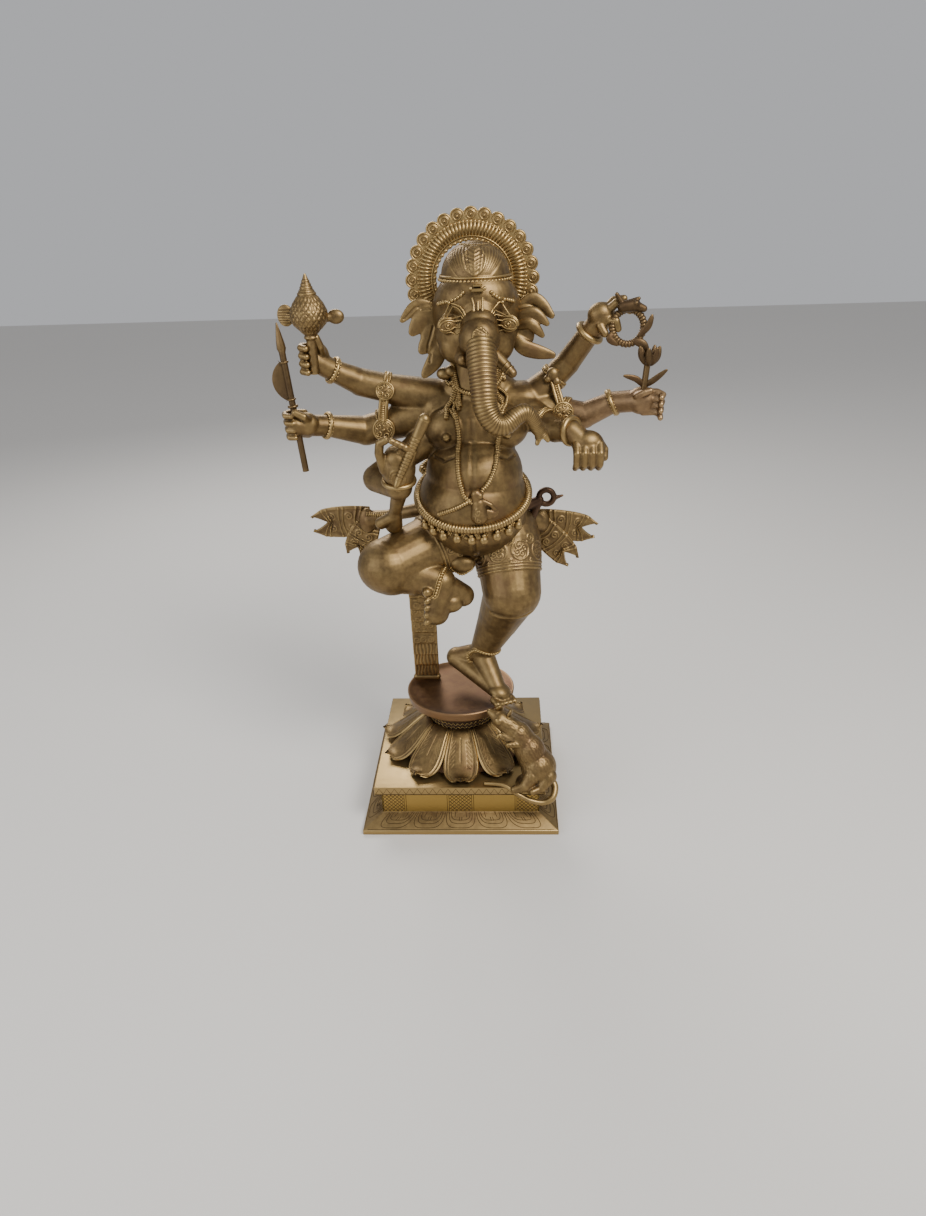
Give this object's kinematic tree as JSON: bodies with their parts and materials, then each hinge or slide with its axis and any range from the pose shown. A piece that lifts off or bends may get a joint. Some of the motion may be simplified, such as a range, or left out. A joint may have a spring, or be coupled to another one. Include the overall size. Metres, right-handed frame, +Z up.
{
  "type": "hindu deity statue",
  "caption": "Cast brass figure of a dancing elephant-headed deity with many arms, on a dish, lotus pedestal and square plinth, with a mouse; its axe lifts out of the fist.",
  "frame": {"origin": "centre of the plinth's underside", "axes": "+Z up, +X along the plinth's front edge to the viewer's right, -Y towards the viewer in front"},
  "size_m": [0.5308, 0.309, 0.898],
  "materials": {
    "cast_brass": "worn brown patina over cast brass, hand-rubbed on the high places",
    "rubbed_brass": "satin brass, rubbed bright, with brown in the engraving",
    "ornament_brass": "cast ornament, bright on its ridges and brown in its hollows",
    "dark_brass": "dark brown patina, little rubbed",
    "fixings": "plain turned brass"
  },
  "bodies": {
    "statue": {"plinth": "rubbed_brass", "lotus_pedestal": "cast_brass", "dish": "cast_brass", "tie_bolt": "fixings", "tie_nut": "fixings", "torso": "cast_brass", "standing_leg": "cast_brass", "raised_leg": "cast_brass", "support_drape": "dark_brass", "head": "cast_brass", "trunk": "cast_brass", "ear_left": "cast_brass", "ear_right": "cast_brass", "tusk": "ornament_brass", "tusk_stub": "ornament_brass", "crown_cap": "ornament_brass", "halo": "ornament_brass", "conch_arm": "cast_brass", "axe_arm": "cast_brass", "tusk_arm": "cast_brass", "noose_arm": "cast_brass", "lotus_arm": "cast_brass", "lowered_arm": "cast_brass", "conch_pin": "fixings", "axe_pin": "fixings", "tusk_pin": "fixings", "noose_pin": "fixings", "lotus_pin": "fixings", "lowered_pin": "fixings", "head_pin": "fixings", "standing_pin": "fixings", "raised_pin": "fixings", "conch": "rubbed_brass", "noose": "dark_brass", "lotus_bud": "dark_brass", "broken_tusk": "cast_brass", "hand_post": "cast_brass", "armlet_left": "ornament_brass", "armlet_right": "ornament_brass", "conch_bangle": "ornament_brass", "axe_bangle": "ornament_brass", "tusk_bangle": "ornament_brass", "noose_bangle": "ornament_brass", "lotus_bangle": "ornament_brass", "lowered_bangle": "ornament_brass", "standing_anklet": "ornament_brass", "raised_anklet": "ornament_brass", "necklace": "ornament_brass", "sacred_cord": "ornament_brass", "neck_cord": "ornament_brass", "snake_belt": "ornament_brass", "pendant": "ornament_brass", "loincloth": "dark_brass", "hip_loop": "dark_brass", "scarf_left": "ornament_brass", "scarf_right": "ornament_brass", "mouse": "cast_brass", "mouse_tail": "cast_brass", "mouse_peg": "fixings"},
    "axe": {"axe": "dark_brass"}
  },
  "joints": [
    {"name": "axe_lift", "type": "slide", "parent": "statue", "child": "axe", "axis": [-0.0872, 0, 0.9962], "range_m": [0, 0.095]}
  ]
}
